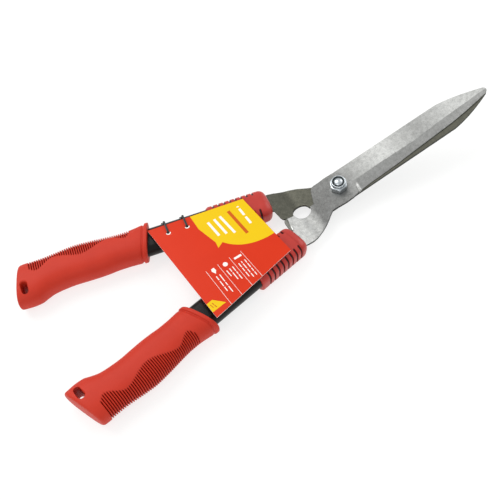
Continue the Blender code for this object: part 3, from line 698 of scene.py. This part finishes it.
def mark_tone(piece, level):
    """Stores painted light and shade on the steel at each point, tone(x), as straight lines between the
    stations of the table above. The ground bevel keeps 1, and the inner blade goes from 1.05 at -30 to
    1.25 at 10, a painted lightening."""
    co = np.zeros(len(piece.data.vertices) * 3, np.float32)
    piece.data.vertices.foreach_get("co", co)
    turn, origin = blade_frame()
    x, y, z = ((co.reshape(-1, 3) / MM - origin) @ turn).T
    ground = (bevel_depth(x, y) > 0.04) & (z > 0.4) & (level > 0)
    tone = np.where(ground, 1.0, np.interp(x, PAINTED_LIGHT_TABLE[:, 0], PAINTED_LIGHT_TABLE[:, 1]))
    tone = np.interp(x, [-30, 10], [1.05, 1.25]) if level < 0 else tone
    layer = piece.data.attributes.new("tone", "FLOAT_COLOR", "POINT")
    layer.data.foreach_set("color", np.repeat(tone, 4).astype(np.float32))


EDGE_COLUMN = 65                           # the column of the edge's wall in a blade's grid


def blade_grid(level, across=64):
    """One row per station: the top face from rail to rail, the wall at the edge, the bottom face back,
    and the wall at the spine. The rims are rounded by 0.35 mm."""
    a, b = rails()
    top_face, bottom_face = plate_faces(level)
    if level < 0:
        top_face, bottom_face = bottom_face, top_face
    sign = 1 if level > 0 else -1
    wide = np.linalg.norm(b - a, axis=1)[:, None]
    rim = np.minimum(0.35 / wide, 0.2)
    inner = np.linspace(0, 1, across)[None, 1:-1]
    w = np.concatenate([0 * wide, rim, rim + inner * (1 - 2 * rim), 1 - rim, 1 + 0 * wide], axis=1)
    low = np.linspace(0, 1, 12)[None, 1:-1]
    v = np.concatenate([1 + 0 * wide, 1 - rim, 1 - rim - low * (1 - 2 * rim), rim, 0 * wide], axis=1)
    xy = a[:, None] + w[..., None] * (b - a)[:, None]
    under = a[:, None] + v[..., None] * (b - a)[:, None]
    x, y = xy[..., 0], xy[..., 1]
    depth = bevel_depth(x, y)
    roll = 2.1 * step((-68.4 - x) / 5.4) * step((y + 16.5) / 2.0)
    z = height(x, top_face) - sign * (depth + roll)
    zu = height(under[..., 0], bottom_face)
    ux, uy = under[..., 0], under[..., 1]
    soft = np.minimum(0.35, 0.3 * (PLATE - bevel_depth(ux, uy)))
    z[:, [0, -1]] -= sign * np.minimum(0.35, 0.3 * (PLATE - depth[:, [0, -1]]))
    zu[:, [0, -1]] += sign * soft[:, [0, -1]]
    return np.concatenate([np.dstack([x, y, z]), np.dstack([ux, uy, zu])], axis=1)


def bore(radius, count=48):
    """A round plug along the bolt, for the hole that the bolt passes through."""
    a = np.linspace(0, 2 * math.pi, count, endpoint=False)
    return np.array([np.stack([radius * np.cos(a), radius * np.sin(a), np.full(count, z)], -1) for z in (-9, 9)])


def make_blade(name, level, looks, body, slot, node_name):
    """Skins a blade. The one under it is the same turned over, so its y and z change sign."""
    flat = blade_grid(level)
    spine_rail, edge_rail = rails()

    def look_of(rows, cols):
        """The last column is the spine's wall, and EDGE_COLUMN the edge's. Ground steel shows on the edge's wall only
        where the blade cuts. The spine's wall takes the bright steel only at its rear corner, a painted
        highlight line, and the rolled finger takes the darker rolled steel, painted shade."""
        kinds = np.zeros((rows - 1, cols), int)
        # the spine's wall at its rear corner is bright: a painted highlight line
        kinds[:, cols - 1] = np.where(np.abs(spine_rail[:-1, 0] + 27) < 6.8, 0, 1)
        kinds[:, EDGE_COLUMN] = np.where(edge_rail[:-1, 0] < 14, 1, 0)
        x, y = flat[:-1, :, 0], flat[:-1, :, 1]
        # the rolled finger is drawn in darker steel: painted shade where the plate turns down
        rolled = (x < np.interp(y, [-19.8, -10.4, -3.0], [-72.2, -70.0, -67.5])) & (y > -20) & (x > -76)
        kinds[:, :EDGE_COLUMN][rolled[:, :EDGE_COLUMN]] = 2
        return kinds.ravel()

    grid = flat if level > 0 else flat * np.array([1, -1, 1])
    piece = skin(name, grid, blade_frame(), looks, sharp=38, look_of=look_of)
    carve(piece, [skin("plug", bore(BOLT_HOLE_R), blade_frame(), [looks[0]])], sharp=38)
    mark_tone(piece, level)
    return settle(piece, body, slot, node_name)


upper_blade = make_blade("ground_upper_blade", LEVEL, [steel_look, edge_look, rolled_look], "free_half",
                         "blade_steel", "upper_blade")
lower_blade = make_blade("ground_lower_blade", -LEVEL, [inner_steel_look, edge_look, rolled_look], "card_half",
                         "blade_steel_inner", "lower_blade")

# %% [markdown]
# ## Pivot
# An M10 bolt, a spring washer and a nylon-insert lock nut hold the blades. All are zinc plated: a
# bright, faintly blue finish. A hexagon is a circle cut by six flats, so its radius at an angle is
# the smaller of the circle's and the flat's, which also gives the curved chamfer at its corners.

# %% Zinc plate and nylon
zinc_look, tree, shader = material("bright_zinc_plate", "#C9CED2", 1.0, 0.22)
where_it_is = node(tree, "ShaderNodeTexCoord").outputs["Object"]
stain, tone = clouded(tree, where_it_is, 300.0, "#A9B0B4", "#E6EBEE", Detail=4.0)
tree.links.new(tone, shader.inputs["Base Color"])
dull = node(tree, "ShaderNodeMapRange", {"Value": stain.outputs["Fac"], "To Min": 0.40, "To Max": 0.26})
tree.links.new(dull.outputs["Result"], shader.inputs["Roughness"])
# the insert is drawn a near-black blue-green
nylon_look, tree, shader = material("nylon_insert_dark", "#1C2A2A", 0.0, 0.4, IOR=1.53)
where_it_is = node(tree, "ShaderNodeTexCoord").outputs["Object"]
_, tone = clouded(tree, where_it_is, 400.0, "#162222", "#243434")
tree.links.new(tone, shader.inputs["Base Color"])

# %% Nut, bolt, insert and washer
HEX_AF, FACE, GAP = 17.0, 3.15, 0.3
NUT_TURN = math.radians(28)
NUT_LOW = FACE + GAP
HEX_TOP, NUT_TOP = NUT_LOW + 6.4, NUT_LOW + 10.4


def hexed(rows, turn=0.0, columns=144):
    """Turned rows (radius, height). The radius is never more than the hexagon's, which is half the
    width across flats over the cosine of the angle from the nearest flat, with slightly soft corners."""
    a = np.linspace(0, 2 * math.pi, columns, endpoint=False)
    off = (a + turn + math.pi / 6) % (math.pi / 3) - math.pi / 6
    flat = np.minimum(HEX_AF / 2 / np.cos(off), HEX_AF / 2 / math.cos(math.pi / 6) * 0.985)
    r = np.minimum(np.array([row[0] for row in rows])[:, None], flat[None, :])
    z = np.array([row[1] for row in rows])[:, None] + 0 * r
    return np.stack([r * np.cos(a), r * np.sin(a), z], -1)


nut_rows = [(5.3, HEX_TOP), (7.1, HEX_TOP), (7.1, NUT_TOP - 0.9), (6.7, NUT_TOP - 0.45), (6.6, NUT_TOP - 0.2),
            (6.75, NUT_TOP - 0.03), (7.0, NUT_TOP), (7.25, NUT_TOP - 0.02), (7.5, NUT_TOP - 0.2), (7.65, NUT_TOP - 0.6),
            (7.7, NUT_TOP - 1.1), (7.75, HEX_TOP + 0.25), (8.0, HEX_TOP + 0.05), (8.3, HEX_TOP), (8.6, HEX_TOP - 0.05),
            (9.2, HEX_TOP - 0.45), (9.9, HEX_TOP - 0.95), (9.9, NUT_LOW + 0.9), (9.2, NUT_LOW + 0.35),
            (8.5, NUT_LOW), (5.3, NUT_LOW)]
nut = skin("lock_nut", hexed(nut_rows, NUT_TURN), blade_frame(), [zinc_look], wrap_rows=True, sharp=32)
settle(nut, "card_half", "zinc", "pivot_nut")

ring_rows = [(5.3, HEX_TOP + 0.3), (6.8, HEX_TOP + 0.3), (6.8, NUT_TOP - 1.2), (6.4, NUT_TOP - 1.0),
             (5.6, NUT_TOP - 1.0), (5.3, NUT_TOP - 1.2)]
ring = skin("nylon_insert", hexed(ring_rows, columns=72), blade_frame(), [nylon_look], wrap_rows=True)
settle(ring, "card_half", "nylon", "nut_insert")

WASHER_LOW = -FACE - GAP - 2.0
HEAD_TOP, BOLT_TOP = WASHER_LOW - GAP, FACE + 11.9
dome = [(5.0 * math.sin(a), BOLT_TOP - 2.6 * (1 - math.cos(a))) for a in np.radians(np.arange(3, 91, 6))]
bolt_rows = dome + [(5.0, HEAD_TOP), (8.4, HEAD_TOP), (9.0, HEAD_TOP - 0.2), (9.9, HEAD_TOP - 0.7),
                    (9.9, HEAD_TOP - 5.5), (9.3, HEAD_TOP - 6.0), (8.5, HEAD_TOP - 6.4), (7.2, HEAD_TOP - 6.4),
                    (6.9, HEAD_TOP - 6.1), (0.4, HEAD_TOP - 6.1)]
bolt = skin("pivot_bolt_turned", hexed(bolt_rows), blade_frame(), [zinc_look], sharp=32)
settle(bolt, "card_half", "zinc", "pivot_bolt")


def washer_grid(count=60):
    """A 3.6 by 2 mm section carried round 338 degrees, leaving the split of a spring washer."""
    a = np.radians(np.linspace(8, 346, count))[:, None]
    section = np.array([(5.8, 0.1), (9.0, 0.1), (9.2, 0.3), (9.2, 1.7), (9.0, 1.9), (5.8, 1.9), (5.6, 1.7), (5.6, 0.3)])
    r, z = section[:, 0][None, :], section[:, 1][None, :]
    return np.stack([r * np.cos(a), r * np.sin(a), WASHER_LOW + z + 0 * a], -1)


washer = skin("split_washer", washer_grid(), blade_frame(), [zinc_look], sharp=30)
settle(washer, "card_half", "zinc", "spring_washer")

# %% [markdown]
# ## Card
# The card is 0.6 mm coated board with a satin print on top and bare white board at its cut edges.
# It rests a little above the handles, tilted about x. The print is generic: a bubble, rows of bars
# where words would be, three small signs and a tag. Each is a very thin layer of ink of its own.

# %% Board and inks
def ink(name, colour, second, rough=0.35):
    """Satin ink on board: two close tones in soft clouds, and a faint board grain in the bump."""
    look, tree, shader = material(name, colour, 0.0, rough, IOR=1.45, Specular_IOR_Level=0.25)
    place = node(tree, "ShaderNodeTexCoord").outputs["Object"]
    _, tone = clouded(tree, place, 40.0, colour, second, Detail=4.0)
    tree.links.new(tone, shader.inputs["Base Color"])
    grained(tree, shader, place, 700.0, 0.05, 0.0001, Detail=3.0)
    return look


red_ink = ink("satin_red_print", "#D5300C", "#DC3510")
board = ink("bare_white_board", "#E9E6E0", "#F3F1EC", 0.7)
yellow_ink = ink("satin_yellow_print", "#EEC402", "#F3CA06")
white_ink = ink("satin_white_print", "#F6F1EA", "#FFFBF4")
brown_ink = ink("satin_orange_print", "#CC5A0E", "#D56614")
print("made 5 printed finishes")

# %% Card surface and print
CARD = np.array([(-130.75, 57.0), (-27.75, 38.5), (-23.45, -42.9), (-123.75, -67.2)])
CARD_LIFT, CARD_LIFT_Y, CARD_SLOPE, CARD_THICK = 26.75, 42.0, 0.034, 0.6
HERE = (np.eye(3), np.zeros(3))            # the card is drawn in the part's own frame


def card_z(y, above=0.0):
    """Height of the card's middle: it rises by the slope for each mm toward handle b."""
    return CARD_LIFT + (CARD_LIFT_Y - y) * CARD_SLOPE + above


def sheet_grid(outline, low, high):
    """An outline as a flat slab: its points at a low and a high distance from the card's middle."""
    outline = np.asarray(outline, float)
    return [np.column_stack([outline, card_z(outline[:, 1], level)]) for level in (low, high)]


def slab(name, outlines, low, high, looks):
    """Closed slabs in one mesh: for each outline a face below, a face above, and a wall between."""
    points, faces, kinds, base = [], [], [], 0
    for outline in outlines:
        outline = np.asarray(outline, float)
        x, y = outline.T
        if (x * np.roll(y, -1) - np.roll(x, -1) * y).sum() < 0:
            outline = outline[::-1]
        under, over = sheet_grid(outline, low, high)
        n = len(outline)
        points += [under, over]
        faces += [[base + i for i in range(n)][::-1], [base + n + i for i in range(n)]]
        faces += [[base + i, base + (i + 1) % n, base + n + (i + 1) % n, base + n + i] for i in range(n)]
        kinds += [0, 0] + [len(looks) - 1] * n
        base += 2 * n
    mesh = bpy.data.meshes.new(name)
    mesh.from_pydata(placed(np.vstack(points), HERE), [], faces)
    for look in looks:
        mesh.materials.append(look)
    mesh.polygons.foreach_set("material_index", np.array(kinds, np.int32))
    return finish_mesh(name, mesh, 30)


def disc(x, y, radius, count=28):
    """A circle's outline."""
    a = np.linspace(0, 2 * math.pi, count, endpoint=False)
    return np.stack([x + radius * np.cos(a), y + radius * np.sin(a)], -1)


TIE_PLACES, TIE_HOLE_T = (89.7, 109.8), -4.2
turn, origin = handle_frame(1)
TIE_HOLES = [(turn @ np.array([at, TIE_HOLE_T, 0]) + origin)[:2] for at in TIE_PLACES]
card = slab("printed_card", [CARD], -CARD_THICK / 2, CARD_THICK / 2, [red_ink, board])
carve(card, [slab("punch", [disc(x, y, 1.7)], -4, 4, [board, board]) for x, y in TIE_HOLES], 30)
settle(card, "card_half", "printed_card", "card")

INK = (CARD_THICK / 2 - 0.01, CARD_THICK / 2 + 0.03)


def edge_point(a, b, share):
    """A point on a card edge, held 0.15 mm inside it so that the ink ends before the cut."""
    p = CARD[a] + (CARD[b] - CARD[a]) * share
    return p + 0.15 * (CARD.mean(axis=0) - p) / np.linalg.norm(CARD.mean(axis=0) - p)


bubble = np.vstack([
    [edge_point(0, 1, 0.436), edge_point(0, 1, 0.998), edge_point(1, 2, 0.675)],
    pull((-33.2, -16.8), (-62.0, -16.0), (-74.7, 2.8), 12),
    [(-81.7, -1.0)], pull((-80.6, 6.6), (-84.0, 20.0), (-86.4, 30.0), 8)])
settle(slab("print_bubble", [bubble], *INK, [yellow_ink]), "card_half", "printed_card")


def bars(start, end, thick, cuts):
    """A row of bars along a line, as greeked words: each cut is the share where a bar starts and ends."""
    start, end = np.array(start, float), np.array(end, float)
    way = end - start
    side = np.array([-way[1], way[0]]) / np.linalg.norm(way) * thick / 2
    return [[start + way * a - side, start + way * b - side, start + way * b + side, start + way * a + side]
            for a, b in cuts]


words = bars((-38.1, 33.0), (-38.1, 7.0), 2.6, [(0, 0.05), (0.14, 0.52), (0.62, 1)])
words += bars((-60.2, 32.0), (-58.0, 5.8), 2.7, [(0, 1)])
words += bars((-67.0, 32.0), (-65.6, 9.5), 2.7, [(0, 1)])
words += bars((-74.4, 32.0), (-73.2, 11.5), 2.7, [(0, 1)])
for (x0, y0), (x1, y1) in (((-65.7, -16.4), (-63.7, -52.6)), ((-79.2, -16.6), (-77.5, -56.0)),
                           ((-92.9, -17.4), (-91.1, -59.2)), ((-106.4, -18.1), (-104.9, -62.4))):
    words += bars((x0, y0), (x1, y1), 0.35, [(0, 1)])
for x, y0, y1, cuts in (
        (-67.8, -27.0, -48.3, [(0, 0.2), (0.25, 0.5), (0.55, 0.75), (0.8, 1)]),
        (-71.6, -27.0, -48.6, [(0, 0.1), (0.15, 0.45), (0.5, 0.72), (0.78, 1)]),
        (-75.0, -27.6, -45.8, [(0, 0.3), (0.36, 0.6), (0.66, 1)]),
        (-82.0, -27.4, -44.2, [(0, 0.35), (0.42, 0.6), (0.66, 1)]),
        (-85.6, -27.8, -42.5, [(0, 0.3), (0.38, 1)]),
        (-89.2, -28.2, -36.2, [(0, 1)]),
        (-97.2, -28.3, -51.6, [(0, 0.4), (0.45, 0.62), (0.68, 1)]),
        (-101.0, -28.4, -48.1, [(0, 0.25), (0.32, 0.66), (0.72, 1)])):
    words += bars((x, y0), (x + 0.6, y1), 0.95, cuts)
words += bars((-75.8, -20.8), (-67.4, -20.4), 2.4, [(0, 1)])
words += [disc(-86.4, -21.3, 2.5)]
words += [[(-98.0, -18.4), (-101.0, -18.8), (-101.8, -21.4), (-99.6, -25.6), (-97.4, -22.2)]]
# the pale ring segments are drawn in the white ink as a white spot at each hole
for x, y in TIE_HOLES:                      # a pale ring segment beside each hole
    outer, inner = disc(x, y - 0.4, 2.6), disc(x, y, 1.75)
    words += [np.vstack([outer[a:a + 2], inner[a:a + 2][::-1]]) for a in range(14, 27)]
settle(slab("print_white", words, INK[0], INK[1] + 0.03, [white_ink]), "card_half", "printed_card")

accent = bars((-49.4, 33.0), (-47.7, -1.5), 3.5, [(0, 1)])
accent += bars((-119.5, -51.5), (-118.0, -57.5), 0.9, [(0, 0.4), (0.5, 1)])
accent += bars((-122.0, -52.0), (-121.0, -56.5), 0.7, [(0, 1)])
tag_outline = [edge_point(3, 0, 0.14), (-117.8, -48.4), (-108.1, -57.7), edge_point(3, 0, 0.055)]
settle(slab("print_tag", [tag_outline], *INK, [yellow_ink]), "card_half", "printed_card")
settle(slab("print_accent", accent, INK[0], INK[1] + 0.03, [brown_ink]), "card_half", "printed_card")

# %% [markdown]
# ## Cable ties
# Two black nylon ties go through the card's holes and round the tube. A tie is a small rounded strip
# carried round a closed path in the plane across the handle. Its head is a separate rounded block.

# %% Ties
tie_look, tree, shader = material("black_nylon_tie", "#1A1A1A", 0.0, 0.42, IOR=1.53)
where_it_is = node(tree, "ShaderNodeTexCoord").outputs["Object"]
_, tone = clouded(tree, where_it_is, 900.0, "#141414", "#262626")
tree.links.new(tone, shader.inputs["Base Color"])
TIE_THICK, TIE_WIDE = 0.9, 2.1


def loop_grid(path, at, thick, wide):
    """Carries a rounded strip's section round a closed path in the (t, z) plane. The section lies
    across the path: its depth along the path's outward normal and its width along s."""
    path = np.asarray(path, float)
    way = np.roll(path, -1, axis=0) - np.roll(path, 1, axis=0)
    way /= np.linalg.norm(way, axis=1)[:, None]
    out = np.stack([way[:, 1], -way[:, 0]], -1)
    x, y = bent(np.linspace(0, 2 * math.pi, 16, endpoint=False), 4.0)
    depth, across = thick / 2 * (x + 1), wide / 2 * y
    t = path[:, :1] + out[:, :1] * depth
    z = path[:, 1:] + out[:, 1:] * depth
    return np.stack([at + across + 0 * t, t, z], -1)


def tie_path(at):
    """Over the card, down through its hole, under the tube and up its outer side, all at 0.3 mm."""
    turn, origin = handle_frame(1)
    y_hole = (turn @ np.array([at, TIE_HOLE_T, 0]) + origin)[1]
    top = card_z(y_hole - 6, CARD_THICK / 2 + 0.3) - AXIS_Z
    w, h = TUBE_HALF_W + GAP, TUBE_HALF_H + GAP
    left = [(-(w - h) + h * math.cos(a), h * math.sin(a)) for a in np.radians(np.linspace(100, 260, 15))]
    right = [(w - h + h * math.cos(a), h * math.sin(a)) for a in np.radians(np.linspace(-80, 60, 14))]
    raw = np.array([(9.5, top), (6.0, top + 0.15), (0.0, top + 0.1), (TIE_HOLE_T, top), (-4.8, h + 1.2), *left, *right])
    return along(np.vstack([raw, raw[:1]]), 120, False)


for k, at in enumerate(TIE_PLACES):
    path = tie_path(at)
    if (path[:, 0] * np.roll(path[:, 1], -1) - np.roll(path[:, 0], -1) * path[:, 1]).sum() < 0:
        path = path[::-1]
    strap = skin(f"tie_strap_{k + 1}", loop_grid(path, at, TIE_THICK, TIE_WIDE), handle_frame(1), [tie_look],
                 wrap_rows=True)
    settle(strap, "card_half", "black_nylon", f"cable_tie_{k + 1}")
    head = skin(f"tie_head_{k + 1}", rounded_box((at - 2.0, 15.5, -3.6), (at + 2.0, 18.4, 0.8), 0.6),
                handle_frame(1), [tie_look])
    settle(head, "card_half", "black_nylon")

# %% [markdown]
# ## Hidden rivets
# Four rivets hold the tangs inside the collars. Their CAD solids already have the right shape, so
# they stay and only take the zinc finish.

# %% Rivets
for name in ("tang_rivet_a_1", "tang_rivet_a_2", "tang_rivet_b_1", "tang_rivet_b_2"):
    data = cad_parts[name].data
    data.materials.clear()
    data.materials.append(zinc_look)
print("rivets keep their CAD shape")
